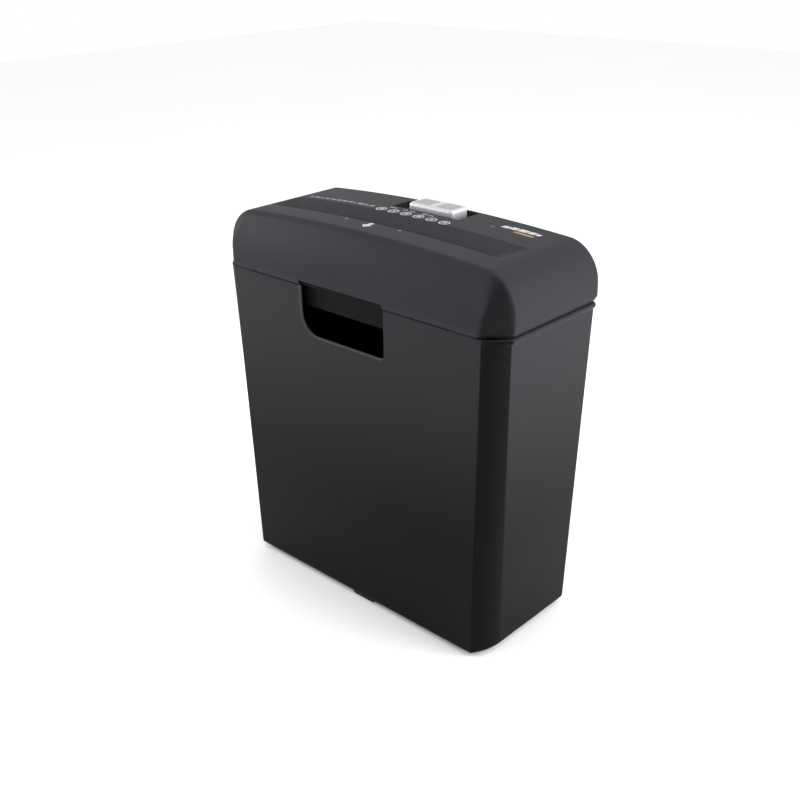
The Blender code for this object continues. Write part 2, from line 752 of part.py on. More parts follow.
def cooling_fan():
    """Hub and straight blades on the motor's free end."""
    hub, tip = FAN_RADII
    half_root, half_tip = 0.20, 0.075  # half angles of a blade at the hub and at its tip
    corners = ((hub, -half_root), (tip, -half_tip), (tip, half_tip), (hub, half_root))
    outline = []
    for i in range(FAN_BLADES):
        for radius, turn in corners:
            angle = math.tau * i / FAN_BLADES + turn
            y = MOTOR_AXIS[0] + radius * math.cos(angle)
            z = MOTOR_AXIS[1] + radius * math.sin(angle)
            outline.append((y, z))
    fan = prism("cooling_fan", outline, FAN_X, gear_plastic())
    drill(fan, MOTOR_SHAFT_RADIUS + GAP, MOTOR_AXIS, (FAN_X[0] - 0.002, FAN_X[1] + 0.002))


# ---- controls and electrics ---------------------------------------------------------------------
def block_outline(x_range, y_range, inset=0.0):
    x0, x1 = x_range[0] + inset, x_range[1] - inset
    y0, y1 = y_range[0] + inset, y_range[1] - inset
    return [(x0, y0), (x1, y0), (x1, y1), (x0, y1)]


def slide_switch():
    """The slider in its recess, its stem through the recess floor, and the switch body below."""
    low_z = TOP_Z - RECESS_DEPTH + GAP
    stem_z = low_z - SLIDER_STEM
    middle_x = (SLIDER_X[0] + SLIDER_X[1]) / 2
    middle_y = (RECESS_Y[0] + RECESS_Y[1]) / 2
    slider_y = (RECESS_Y[0] + SLIDER_PLAY_Y, RECESS_Y[1] - SLIDER_PLAY_Y)
    rings = [
        at_height(block_outline(SLIDER_X, slider_y), low_z),
        at_height(block_outline(SLIDER_X, slider_y), SLIDER_TOP_Z - 0.0020),
        at_height(block_outline(SLIDER_X, slider_y, 0.0015), SLIDER_TOP_Z),
    ]
    slider = loft("switch_slider", rings, silver_plastic())
    stem = box(
        "slider_stem",
        (middle_x - 0.0035, middle_y - 0.0040, stem_z),
        (middle_x + 0.0035, middle_y + 0.0040, low_z + 0.0010),
        silver_plastic(),
    )
    boolean(slider, stem, "UNION")
    pivot_at("switch_slider", (middle_x, middle_y, low_z))
    box(
        "switch_module",
        (middle_x - 0.0200, middle_y - 0.0080, stem_z - 0.0100),
        (middle_x + 0.0200, middle_y + 0.0080, stem_z - 0.0008),
        dark_plastic(),
        0.0008,
    )


def paper_sensor():
    """A sprung lever whose tip crosses the slot, and the small switch beside it."""
    y, z = SENSOR_PIVOT
    half = 0.0015  # of the lever's width
    hub = 0.0026
    tip_y, tip_z = SLOT_Y - 0.0010, THROAT_FLOOR_Z + 0.0015
    arm = [
        (y, z - 0.0018),
        (y - 0.0010, z + 0.0014),
        (tip_y, tip_z + 0.0008),
        (tip_y, tip_z - 0.0008),
    ]
    profile = ((hub, SENSOR_X - half), (hub, SENSOR_X + half))
    lever = turned("paper_sensor_lever", profile, (y, z), gear_plastic())
    arm_ends = (SENSOR_X - half + 0.0001, SENSOR_X + half - 0.0001)
    boolean(lever, prism("sensor_arm", arm, arm_ends, gear_plastic()), "UNION")
    pivot_at("paper_sensor_lever", (SENSOR_X, y, z))
    box(
        "paper_sensor_switch",
        (SENSOR_X + 0.0022, y - 0.0035, z - 0.0050),
        (SENSOR_X + 0.0120, y + 0.0045, z + 0.0045),
        dark_plastic(),
        0.0005,
    )


def interlock():
    """A plunger that the bin's pad holds up, and the switch above it: no bin, no motor."""
    x, y = INTERLOCK
    foot = SEAM_Z - GAP - PAD_DROP + GAP
    profile = ((0.0012, foot), (0.0018, foot + 0.0012), (0.0018, PLUNGER_TOP_Z))
    turned("interlock_plunger", profile, INTERLOCK, gear_plastic(), "Z", 10)
    pivot_at("interlock_plunger", (x, y, foot))
    low = PLUNGER_TOP_Z + PLUNGER_TRAVEL + 2 * GAP
    box(
        "interlock_switch",
        (x - 0.0050, y - 0.0080, low),
        (x + 0.0050, y + 0.0080, low + 0.0104),
        dark_plastic(),
        0.0006,
    )


def electrics():
    """Board with its tall parts, the motor's overheat cut-out and the bush where mains comes in."""
    z = BOARD_PARTS_Z
    box("power_board", BOARD_LOW, BOARD_HIGH, board_green())
    capacitor = ((0.0070, z), (0.0070, z + 0.0171))
    turned("motor_capacitor", capacitor, (-0.0560, 0.0360), dark_plastic(), "Z", 14)
    box("fuse_block", (-0.0860, 0.0250, z), (-0.0720, 0.0400, z + 0.0111), dark_plastic(), 0.0008)
    y = MOTOR_AXIS[0]
    top = MOTOR_AXIS[1] + MOTOR_RADIUS + GAP
    cutout_high = (0.0840, y + 0.0050, top + 0.0052)
    box("thermal_cutout", (0.0680, y - 0.0050, top), cutout_high, dark_plastic(), 0.0005)
    tube("cord_inlet_bush", 0.0034, 0.0060, (0.0560, 0.0642), (INLET_X, INLET_Z), rubber(), "Y", 16)


def spin_pivots():
    """Puts the origins of what turns with the cutters and the motor on their axes."""
    for which in ("front", "rear"):
        y, z = cutter_axis(which)
        pivot_at(f"cutter_{which}", (LEFT_PLATE_X, y, z))
        pivot_at(f"cutter_gear_{which}", (CUTTER_GEAR_X[0], y, z))
    y, z = cutter_axis("rear")
    pivot_at("final_gear", (THIRD_GEAR_X[0], y, z))
    y, z = MOTOR_AXIS
    left_ends = {"motor_rotor": MOTOR_X[0], "motor_pinion": FIRST_GEAR_X[0], "cooling_fan": FAN_X[0]}
    for name, x in left_ends.items():
        pivot_at(name, (x, y, z))


def main():
    clear_scene()
    waste_bin()
    feet()
    head_cover()
    head_base()
    base_screws()
    cutter("front", 0.1160)
    cutter("rear", THIRD_GEAR_X[1] + 0.0010)
    stripper("front", CUTTER_Z - COMB_THICKNESS / 2, 0.0)
    # under the motor the comb sits lower, where the discs are narrower, so it may come closer
    stripper("rear", CUTTER_Z - 0.0150, -0.0016)
    side_plates()
    shaft_bushes()
    tie_rods()
    gear_train()
    outer_plate()
    motor()
    cooling_fan()
    spin_pivots()
    slide_switch()
    paper_sensor()
    interlock()
    electrics()


main()
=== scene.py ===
import json
import math

import bmesh
import bpy
from mathutils import Matrix, Vector


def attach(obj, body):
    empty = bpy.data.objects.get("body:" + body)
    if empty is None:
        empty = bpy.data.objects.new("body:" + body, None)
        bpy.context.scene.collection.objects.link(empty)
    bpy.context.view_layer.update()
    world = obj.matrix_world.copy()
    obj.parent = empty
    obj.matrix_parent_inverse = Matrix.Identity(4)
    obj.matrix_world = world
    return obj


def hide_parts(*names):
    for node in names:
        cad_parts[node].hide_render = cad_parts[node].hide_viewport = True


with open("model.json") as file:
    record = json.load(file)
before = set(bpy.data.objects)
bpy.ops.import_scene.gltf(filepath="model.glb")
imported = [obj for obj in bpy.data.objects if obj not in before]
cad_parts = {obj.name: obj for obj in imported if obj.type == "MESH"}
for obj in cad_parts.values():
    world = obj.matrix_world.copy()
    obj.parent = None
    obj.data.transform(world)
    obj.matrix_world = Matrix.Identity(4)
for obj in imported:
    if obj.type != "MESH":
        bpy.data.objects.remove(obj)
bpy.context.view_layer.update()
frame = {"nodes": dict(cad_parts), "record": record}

# ---- driving sizes, in metres --------------------------------------------------------------------
# The mouldings' plan and edges. They follow the frame's bodies to within a few millimetres.
WALL = 0.0025
BIN_LOW_Z = 0.0043
SEAM_Z = 0.2910  # where the head meets the bin
TOP_Z = 0.3440
CROWN = 0.0046  # fall of the top from its middle to where the round ends start

BIN_BOTTOM = (0.1335, 0.1433, 0.0604, 0.0274)  # half face, half side, half depth, band depth
BIN_TOP = (0.1411, 0.1572, 0.0621, 0.0160)
BAND_BULGE = 0.0024
BAND_POINTS = 7
CREASE = 0.0007  # rounding of the bin's upright creases
BACK_CORNER_RADIUS = 0.0045
BACK_SETBACK = 0.0014  # the bin's back is that much farther out than its front
RIM_Z = SEAM_Z - 0.0003

HEAD_HALF_WIDTH, HEAD_HALF_DEPTH = 0.1585, 0.0640
END_X, END_Z = 0.0295, 0.0326  # radii of the head's round ends
FRONT_EDGE_Y, FRONT_BULGE, FRONT_SLOPE, FRONT_ROUND = -0.0468, 0.0171, 0.88, 0.0032
BACK_EDGE_Y, BACK_BULGE, BACK_SLOPE, BACK_ROUND = 0.0614, 0.0031, 3.0, 0.0012
LIP_HEIGHT, LIP_UNDERCUT = 0.0050, 0.0022

SLOT_X, SLOT_Y = (-0.1160, 0.1060), (-0.0148, -0.0092)
THROAT_X, THROAT_Y = (-0.1300, 0.1280), (-0.0205, 0.0115)
THROAT_FLOOR_Z, THROAT_RISE = 0.3230, 0.0202
RECESS_X, RECESS_Y, RECESS_FLOOR_Z = (-0.0330, 0.0410), (0.0310, 0.0580), 0.3380
WINDOW_X, WINDOW_SILL_Z, WINDOW_RADII = (-0.0548, 0.0415), 0.2480, (0.0190, 0.0045)
GRIP_TOP_Z = 0.2955  # the head's lower edge is raised over the hand hole
CORD_INLET_X, CORD_INLET_Z, CORD_INLET_RADIUS = -0.110, 0.303, 0.0063

LEDGE_X, LEDGE_Y = (-0.1545, -0.1430), (-0.0060, 0.0060)  # under the interlock's plunger
FOOT_X, FOOT_Y = 0.108, 0.036
LOBE_X, LOBE_TOP_Z, LOBE_RADIUS = (-0.0100, 0.0180), 0.0046, 0.0038

SLIDER_X, SLIDER_Y, SLIDER_Z = (-0.0185, 0.0310), (0.0345, 0.0565), (0.3383, 0.3484)
STEM_HALF_WIDTH, STEM_Y, STEM_LOW_Z = 0.0035, (0.0390, 0.0470), 0.3323

SYMBOL_X, SYMBOL_Y, SYMBOL_STEP, SYMBOL_COUNT = -0.0332, 0.0172, 0.0142, 6
SMALL_PRINT_X, SMALL_PRINT_Y, SMALL_PRINT_GAP = -0.1245, 0.0184, 0.0020

CAMERA_PLACE, CAMERA_LENS_MM = (0.5937, -0.6274, 0.5755), 48.065
CAMERA_TURNS = (43.388, 24.633, 1.078)  # azimuth, pitch and roll in degrees


# ---- shader groups -------------------------------------------------------------------------------
def new_group(name, inputs, outputs):
    """An empty shader group with named sockets, and its two end nodes."""
    tree = bpy.data.node_groups.new(name, "ShaderNodeTree")
    for socket, kind, value in inputs:
        made = tree.interface.new_socket(socket, in_out="INPUT", socket_type=kind)
        made.default_value = value
    for socket, kind in outputs:
        tree.interface.new_socket(socket, in_out="OUTPUT", socket_type=kind)
    return tree, tree.nodes.new("NodeGroupInput"), tree.nodes.new("NodeGroupOutput")


def node(tree, kind, links=(), **settings):
    """Adds a node, sets its properties and plain inputs, and links what feeds it."""
    made = tree.nodes.new(kind)
    values = settings.pop("values", {})
    for key, value in settings.items():
        setattr(made, key, value)
    for key, value in values.items():
        made.inputs[key].default_value = value
    for source, target in links:
        tree.links.new(source, made.inputs[target])
    return made


def math_node(tree, operation, first, second, clamp=False):
    made = tree.nodes.new("ShaderNodeMath")
    made.operation = operation
    made.use_clamp = clamp
    for index, value in enumerate((first, second)):
        if isinstance(value, (int, float)):
            made.inputs[index].default_value = value
        else:
            tree.links.new(value, made.inputs[index])
    return made.outputs[0]


def grain_group():
    """Spark-eroded mould grain: small rounded pits over a finer haze."""
    tree, entry, leave = new_group(
        "mould_grain",
        [("Grains per metre", "NodeSocketFloat", 1100.0), ("Haze share", "NodeSocketFloat", 0.35)],
        [("Height", "NodeSocketFloat")],
    )
    place = node(tree, "ShaderNodeTexCoord")
    grains = entry.outputs["Grains per metre"]
    cells = node(tree, "ShaderNodeTexVoronoi", feature="SMOOTH_F1",
                 links=[(place.outputs["Object"], "Vector"), (grains, "Scale")])
    haze_scale = math_node(tree, "MULTIPLY", grains, 2.7)
    haze = node(tree, "ShaderNodeTexNoise", values={"Detail": 3.0, "Roughness": 0.6},
                links=[(place.outputs["Object"], "Vector"), (haze_scale, "Scale")])
    pits = math_node(tree, "SMOOTH_MIN", cells.outputs["Distance"], 0.6)
    fine = math_node(tree, "MULTIPLY", haze.outputs["Fac"], entry.outputs["Haze share"])
    height = math_node(tree, "ADD", pits, fine)
    tree.links.new(height, leave.inputs["Height"])
    return tree


def drift_and_shade_group():
    """Slow variation of tone and gloss over a moulding, dust that gathers on what faces up, and
    painted shade.

    The foot input is the share of the colour left near the floor, a painted shade that darkens the
    moulding towards the bottom. The corner input is the share left where the face turns diagonally
    between the front and a side, a painted shade on those corner bands.
    """
    tree, entry, leave = new_group(
        "tone_drift_and_painted_shade",
        [
            ("Colour", "NodeSocketColor", (0.02, 0.02, 0.02, 1)),
            ("Dust colour", "NodeSocketColor", (0.2, 0.19, 0.18, 1)),
            ("Roughness", "NodeSocketFloat", 0.45),
            ("Drift", "NodeSocketFloat", 0.25),
            ("Dust", "NodeSocketFloat", 0.1),
            ("Foot tone", "NodeSocketFloat", 1.0),
            ("Corner tone", "NodeSocketFloat", 1.0),
        ],
        [("Colour", "NodeSocketColor"), ("Roughness", "NodeSocketFloat")],
    )
    place = node(tree, "ShaderNodeTexCoord")
    spot = node(tree, "ShaderNodeSeparateXYZ", links=[(place.outputs["Object"], 0)])
    # Painted shade: the colour is darkened towards the floor, standing in for the shade low on a
    # moulding.
    height = node(tree, "ShaderNodeMapRange", interpolation_type="SMOOTHSTEP",
                  values={"From Min": 0.09, "From Max": 0.300},
                  links=[(spot.outputs["Z"], "Value"), (entry.outputs["Foot tone"], "To Min")])
    # Painted shade: faces turned diagonally between the front and a side are darkened, standing in
    # for their dark reflection.
    facing = node(tree, "ShaderNodeSeparateXYZ", links=[(place.outputs["Normal"], 0)])
    sideways = math_node(tree, "ABSOLUTE", facing.outputs["X"], 0.0)
    forward = math_node(tree, "MULTIPLY", facing.outputs["Y"], -2.0, True)
    diagonal = math_node(tree, "MULTIPLY", sideways, forward)
    corner = node(tree, "ShaderNodeMapRange", interpolation_type="SMOOTHSTEP",
                  values={"From Min": 0.10, "From Max": 0.60, "To Min": 1.0},
                  links=[(diagonal, "Value"), (entry.outputs["Corner tone"], "To Max")])
    # depth is the painted shade of the foot and the corner bands together.
    depth = math_node(tree, "MULTIPLY", height.outputs[0], corner.outputs[0])
    slow = node(tree, "ShaderNodeTexNoise", values={"Scale": 9.0, "Detail": 4.0},
                links=[(place.outputs["Object"], "Vector")])
    speck = node(tree, "ShaderNodeTexNoise",
                 values={"Scale": 320.0, "Detail": 6.0, "Roughness": 0.7},
                 links=[(place.outputs["Object"], "Vector")])
    swing = math_node(tree, "SUBTRACT", slow.outputs["Fac"], 0.5)
    swing = math_node(tree, "MULTIPLY", swing, entry.outputs["Drift"])
    drift_and_shade_gain = math_node(tree, "ADD", swing, 1.0)
    drift_and_shade_gain = math_node(tree, "MULTIPLY", drift_and_shade_gain, depth)
    toned = node(tree, "ShaderNodeVectorMath", operation="SCALE",
                 links=[(entry.outputs["Colour"], 0), (drift_and_shade_gain, "Scale")])
    faces = node(tree, "ShaderNodeNewGeometry")
    up = node(tree, "ShaderNodeSeparateXYZ", links=[(faces.outputs["True Normal"], 0)])
    upward = math_node(tree, "MAXIMUM", up.outputs["Z"], 0.0)
    settled = math_node(tree, "SUBTRACT", speck.outputs["Fac"], 0.45, True)
    dusty = math_node(tree, "MULTIPLY", settled, upward)
    dusty = math_node(tree, "MULTIPLY", dusty, entry.outputs["Dust"], True)
    mixed = node(tree, "ShaderNodeMix", data_type="RGBA")
    tree.links.new(dusty, mixed.inputs["Factor"])
    tree.links.new(toned.outputs[0], mixed.inputs[6])
    tree.links.new(entry.outputs["Dust colour"], mixed.inputs[7])
    rough = math_node(tree, "MULTIPLY", swing, 0.5)
    rough = math_node(tree, "ADD", entry.outputs["Roughness"], rough)
    rough = math_node(tree, "ADD", rough, dusty, True)
    tree.links.new(mixed.outputs[2], leave.inputs["Colour"])
    tree.links.new(rough, leave.inputs["Roughness"])
    return tree


def metal_group():
    """Rolled or turned metal: lines along one axis, with faint oil stains."""
    tree, entry, leave = new_group(
        "metal_lines",
        [
            ("Colour", "NodeSocketColor", (0.5, 0.5, 0.5, 1)),
            ("Stretch", "NodeSocketVector", (1, 1, 1)),
            ("Roughness", "NodeSocketFloat", 0.35),
            ("Stain", "NodeSocketFloat", 0.3),
        ],
        [
            ("Colour", "NodeSocketColor"),
            ("Roughness", "NodeSocketFloat"),
            ("Height", "NodeSocketFloat"),
        ],
    )
    place = node(tree, "ShaderNodeTexCoord")
    drawn = node(tree, "ShaderNodeVectorMath", operation="MULTIPLY",
                 links=[(place.outputs["Object"], 0), (entry.outputs["Stretch"], 1)])
    lines = node(tree, "ShaderNodeTexNoise", values={"Scale": 600.0, "Detail": 4.0},
                 links=[(drawn.outputs[0], "Vector")])
    stains = node(tree, "ShaderNodeTexNoise", values={"Scale": 45.0, "Detail": 5.0},
                  links=[(place.outputs["Object"], "Vector")])
    dark = math_node(tree, "SUBTRACT", stains.outputs["Fac"], 0.45, True)
    dark = math_node(tree, "MULTIPLY", dark, entry.outputs["Stain"])
    shade = math_node(tree, "MULTIPLY", lines.outputs["Fac"], 0.25)
    shade = math_node(tree, "ADD", shade, 0.85)
    shade = math_node(tree, "SUBTRACT", shade, dark)
    toned = node(tree, "ShaderNodeVectorMath", operation="SCALE",
                 links=[(entry.outputs["Colour"], 0), (shade, "Scale")])
    rough = math_node(tree, "ADD", entry.outputs["Roughness"], dark)
    tree.links.new(toned.outputs[0], leave.inputs["Colour"])
    tree.links.new(rough, leave.inputs["Roughness"])
    tree.links.new(lines.outputs["Fac"], leave.inputs["Height"])
    return tree


GRAIN = grain_group()
DRIFT_AND_SHADE = drift_and_shade_group()
METAL = metal_group()
GRAIN_DEPTH, LINE_DEPTH = 0.00004, 0.00003


# ---- materials -----------------------------------------------------------------------------------
def new_material(name, preview):
    made = bpy.data.materials.new(name)
    made.use_nodes = True
    made.diffuse_color = (*preview, 1)
    return made, made.node_tree, made.node_tree.nodes["Principled BSDF"]


def group_node(tree, group, **values):
    """Places a shader group. A value's key is its socket's name with underscores for spaces."""
    made = tree.nodes.new("ShaderNodeGroup")
    made.node_tree = group
    for key, value in values.items():
        made.inputs[key.replace("_", " ")].default_value = value
    return made


def bump(tree, shader, height, strength, distance):
    made = tree.nodes.new("ShaderNodeBump")
    made.inputs["Strength"].default_value = strength
    made.inputs["Distance"].default_value = distance
    tree.links.new(height, made.inputs["Height"])
    tree.links.new(made.outputs[0], shader.inputs["Normal"])


def moulded(name, colour, roughness, grains=1100.0, strength=0.35, drift=0.25, dust=0.08,
            specular=0.5, foot=1.0, corner=1.0):
    """Grained plastic or rubber. foot and corner darken it low down and on the diagonal corners, as
    painted shade.
    """
    made, tree, shader = new_material(name, colour)
    tone = group_node(tree, DRIFT_AND_SHADE, Colour=(*colour, 1), Roughness=roughness, Drift=drift,
                      Dust=dust, Foot_tone=foot, Corner_tone=corner)
    grain = group_node(tree, GRAIN, Grains_per_metre=grains)
    tree.links.new(tone.outputs["Colour"], shader.inputs["Base Color"])
    tree.links.new(tone.outputs["Roughness"], shader.inputs["Roughness"])
    shader.inputs["Specular IOR Level"].default_value = specular
    bump(tree, shader, grain.outputs["Height"], strength, GRAIN_DEPTH)
    return made


def metal(name, colour, roughness, stretch=(1, 1, 1), stain=0.3, strength=0.15, metallic=1.0):
    """Bare or painted metal. A small stretch along an axis draws its lines out that way."""
    made, tree, shader = new_material(name, colour)
    lines = group_node(tree, METAL, Colour=(*colour, 1), Stretch=stretch, Roughness=roughness,
                       Stain=stain)
    tree.links.new(lines.outputs["Colour"], shader.inputs["Base Color"])
    tree.links.new(lines.outputs["Roughness"], shader.inputs["Roughness"])
    shader.inputs["Metallic"].default_value = metallic
    bump(tree, shader, lines.outputs["Height"], strength, LINE_DEPTH)
    return made


def circuit_board():
    """Green solder mask over copper tracks."""
    made, tree, shader = new_material("solder_mask", (0.02, 0.15, 0.06))
    place = node(tree, "ShaderNodeTexCoord")
    tracks = node(tree, "ShaderNodeTexBrick", offset=0.35,
                  values={"Scale": 95.0, "Mortar Size": 0.12, "Brick Width": 1.4,
                          "Row Height": 0.22, "Color1": (0.010, 0.115, 0.040, 1),
                          "Color2": (0.012, 0.125, 0.045, 1), "Mortar": (0.030, 0.210, 0.085, 1)},
                  links=[(place.outputs["Object"], "Vector")])
    tree.links.new(tracks.outputs["Color"], shader.inputs["Base Color"])
    rough = math_node(tree, "MULTIPLY", tracks.outputs["Fac"], 0.15)
    rough = math_node(tree, "ADD", rough, 0.30)
    tree.links.new(rough, shader.inputs["Roughness"])
    bump(tree, shader, tracks.outputs["Fac"], 0.4, GRAIN_DEPTH)
    return made


def ink(name, colour, drift=0.15):
    """Printing ink: matt and finely grained."""
    return moulded(name, colour, 0.55, grains=2500.0, strength=0.1, drift=drift)


# The bin's foot and corner values and the head's corner value are painted shade: darker towards the
# floor and on the diagonal corner bands.
BIN_PLASTIC = moulded("satin_black_bin", (0.0215, 0.0210, 0.0245), 0.42, dust=0.0, specular=0.08,
                      foot=0.05, corner=0.08)
HEAD_PLASTIC = moulded("satin_black_head", (0.0265, 0.0260, 0.0305), 0.50, grains=1300.0,
                       dust=0.0, specular=0.06, corner=0.35)
# Lighter grey for the hand hole's cut edge: a painted highlight where the light catches the rim of
# the black bin.
RIM_PAINTED_HIGHLIGHT = moulded("cut_rim_painted_highlight", (0.0620, 0.0620, 0.0680), 0.50, dust=0.0, specular=0.3)
# Black plastic made near-black: painted shade for the inside under the head, seen through the hand
# hole.
TRAY_PLASTIC_PAINTED_SHADE = moulded("dark_tray_painted_shade", (0.0016, 0.0016, 0.0019), 0.60, dust=0.0, specular=0.08)
SWITCH_SILVER = metal("silver_paint", (0.56, 0.56, 0.58), 0.34, stain=0.05, strength=0.05,
                      metallic=0.55)
PAD_GREY = moulded("pad_grey", (0.30, 0.30, 0.32), 0.42, grains=1800.0, drift=0.1, dust=0.05)
PRINT_WHITE = ink("print_white", (0.46, 0.46, 0.47))
PRINT_SOFT = ink("print_soft", (0.20, 0.20, 0.21), drift=0.3)
PRINT_FAINT = ink("print_faint", (0.13, 0.13, 0.135))
PRINT_ORANGE = ink("print_orange", (0.26, 0.14, 0.05))
RUBBER = moulded("foot_rubber", (0.012, 0.012, 0.012), 0.80, grains=900.0, strength=0.5,
                 dust=0.4)
ACETAL = moulded("acetal", (0.62, 0.60, 0.55), 0.40, grains=700.0, strength=0.1, drift=0.12)
BLACK_PART = moulded("black_part", (0.016, 0.016, 0.017), 0.50, grains=1500.0)
CUTTER_STEEL = metal("cutter_steel", (0.42, 0.42, 0.43), 0.30, stretch=(0.05, 1, 1), stain=0.5)
PLATE_STEEL = metal("zinc_plate", (0.50, 0.50, 0.51), 0.38, stretch=(1, 0.04, 1), stain=0.35)
PIN_STEEL = metal("pin_steel", (0.55, 0.55, 0.56), 0.25, stretch=(0.05, 1, 1), stain=0.15)
BOARD = circuit_board()


# ---- mesh helpers --------------------------------------------------------------------------------
def finish_mesh(name, bm, material, sharp=38.0):
    bmesh.ops.remove_doubles(bm, verts=bm.verts, dist=0.000002)
    bmesh.ops.recalc_face_normals(bm, faces=bm.faces)
    mesh = bpy.data.meshes.new(name)
    bm.to_mesh(mesh)
    bm.free()
    mesh.materials.append(material)
    obj = bpy.data.objects.new(name, mesh)
    bpy.context.scene.collection.objects.link(obj)
    soften(obj, sharp)
    return obj


def soften(obj, sharp=38.0):
    obj.data.shade_smooth()
    obj.data.set_sharp_from_angle(angle=math.radians(sharp))


def loft(name, rings, material):
    """Skins rings of equally many points and closes both ends."""
    bm = bmesh.new()
    rows = [[bm.verts.new(point) for point in ring] for ring in rings]
    count = len(rows[0])
    for lower, upper in zip(rows, rows[1:]):
        for i in range(count):
            j = (i + 1) % count
            bm.faces.new((lower[i], lower[j], upper[j], upper[i]))
    bm.faces.new(rows[0])
    bm.faces.new(rows[-1])
    return finish_mesh(name, bm, material)


def cut(obj, tools, operation="DIFFERENCE"):
    """Applies exact booleans one after another and removes the tools.

    The faces that a tool leaves have the tool's own material.
    """
    for tool in tools:
        modifier = obj.modifiers.new("cut", "BOOLEAN")
        modifier.operation = operation
        modifier.solver = "EXACT"
        modifier.material_mode = "TRANSFER"
        modifier.object = tool
    bake_modifiers(obj)
    for tool in tools:
        mesh = tool.data
        bpy.data.objects.remove(tool, do_unlink=True)
        bpy.data.meshes.remove(mesh)


def bake_modifiers(obj):
    bpy.context.view_layer.update()
    graph = bpy.context.evaluated_depsgraph_get()
    solid = bpy.data.meshes.new_from_object(obj.evaluated_get(graph))
    old = obj.data
    obj.modifiers.clear()
    obj.data = solid
    solid.name = old.name
    bpy.data.meshes.remove(old)


def weigh_normals(obj, sharp=38.0):
    """Smooth shading that keeps flat faces flat beside cut edges."""
    soften(obj, sharp)
    modifier = obj.modifiers.new("even_normals", "WEIGHTED_NORMAL")
    modifier.keep_sharp = True


def ease_edges(obj):
    modifier = obj.modifiers.new("eased_edges", "BEVEL")
    modifier.width = 0.0002
    modifier.segments = 2
    modifier.limit_method = "ANGLE"
    modifier.angle_limit = math.radians(35.0)
    modifier.harden_normals = True


def fit(obj, body, slot, *stands_for):
    """Rides the piece on its body and hides what it stands for. The slot is not used."""
    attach(obj, body)
    if stands_for:
        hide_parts(*stands_for)


def smooth_step(low, high, value):
    share = min(max((value - low) / (high - low), 0.0), 1.0)
    return share * share * (3 - 2 * share)


def smooth_min(a, b, blend):
    share = min(max(0.5 + 0.5 * (b - a) / blend, 0.0), 1.0)
    return b + (a - b) * share - blend * share * (1 - share)


def with_long_edges(outline, parts=24):
    """Adds points along a rounded box's front and back edges, so that it can follow the crown."""
    per = len(outline) // 4
    corners = [outline[i * per:(i + 1) * per] for i in range(4)]

    def between(a, b):
        return [tuple(u + (v - u) * i / parts for u, v in zip(a, b)) for i in range(1, parts)]

    back = between(corners[1][-1], corners[2][0])
    front = between(corners[3][-1], corners[0][0])
    return corners[0] + corners[1] + back + corners[2] + corners[3] + front


def rounded_box_outline(x_range, y_range, radii, steps=6):
    """Plan outline, anticlockwise: right front corner, right back, left back, left front."""
    corners = (
        (x_range[1], y_range[0], -90), (x_range[1], y_range[1], 0),
        (x_range[0], y_range[1], 90), (x_range[0], y_range[0], 180),
    )
    points = []
    for (x, y, start), radius in zip(corners, radii):
        inward_x = -1 if x == x_range[1] else 1
        inward_y = 1 if y == y_range[0] else -1
        for i in range(steps + 1):
            angle = math.radians(start + 90 * i / steps)
            points.append((
                x + inward_x * radius + radius * math.cos(angle),
                y + inward_y * radius + radius * math.sin(angle),
            ))
    return points


# ---- waste bin -----------------------------------------------------------------------------------
def eased(points, index, reach):
    """The point at that place of an open chain, turned into three that round it off."""
    before, here, after = (Vector(points[i]) for i in (index - 1, index, index + 1))
    start = here + (before - here).normalized() * reach
    end = here + (after - here).normalized() * reach
    return [start, start * 0.25 + here * 0.5 + end * 0.25, end]


def bin_outline(sizes, inset=0.0):
    """Plan of the bin: convex bands between eased creases in front, plain rounds behind."""
    face, side, depth, band = sizes
    face, side, depth = face - inset * 0.55, side - inset, depth - inset
    start, end = Vector((face, depth)), Vector((side, depth - band))
    normal = Vector((band, side - face)).normalized()
    chain = [Vector((0, depth))]
    for i in range(BAND_POINTS + 1):
        share = i / BAND_POINTS
        chain.append(start.lerp(end, share) + normal * BAND_BULGE * math.sin(math.pi * share))
    chain.append(Vector((side, 0)))
    corner = eased(chain, 1, CREASE) + chain[2:-2] + eased(chain, len(chain) - 2, CREASE)
    front_right = [(p.x, -p.y) for p in reversed(corner)]
    front_left = [(-p.x, -p.y) for p in corner]
    rounding = max(BACK_CORNER_RADIUS - inset, 0.0012)
    back_right = []
    for i in range(len(corner)):
        angle = math.radians(90 * (1 - i / (len(corner) - 1)))
        back_right.append((
            side - rounding + rounding * math.cos(angle),
            depth + BACK_SETBACK - rounding + rounding * math.sin(angle),
        ))
    back_left = [(-x, y) for x, y in reversed(back_right)]
    return back_right + front_right + front_left + back_left


def bin_sizes(z):
    share = (z - BIN_LOW_Z) / (SEAM_Z - BIN_LOW_Z)
    return tuple(low + (high - low) * share for low, high in zip(BIN_BOTTOM, BIN_TOP))


def bin_ring(z, inset=0.0, bead=0.0):
    """The bead stands out along the two sides only."""
    sizes = bin_sizes(z)
    face, side = sizes[0], sizes[1]
    ring = []
    for x, y in bin_outline(sizes, inset):
        push = bead * smooth_step(face + (side - face) * 0.5, side, abs(x))
        ring.append((x + math.copysign(push, x), y, z))
    return ring


def notch_outline(x_range, low, high, radii, steps=8):
    """Outline in X and Z of an opening with two round lower corners, open at the top."""
    points = [(x_range[0], high)]
    left, right = radii
    for middle, radius, start in ((x_range[0] + left, left, 180), (x_range[1] - right, right, 270)):
        for i in range(steps + 1):
            angle = math.radians(start + 90 * i / steps)
            points.append((
                middle + radius * math.cos(angle), low + radius + radius * math.sin(angle),
            ))
    points.append((x_range[1], high))
    return points


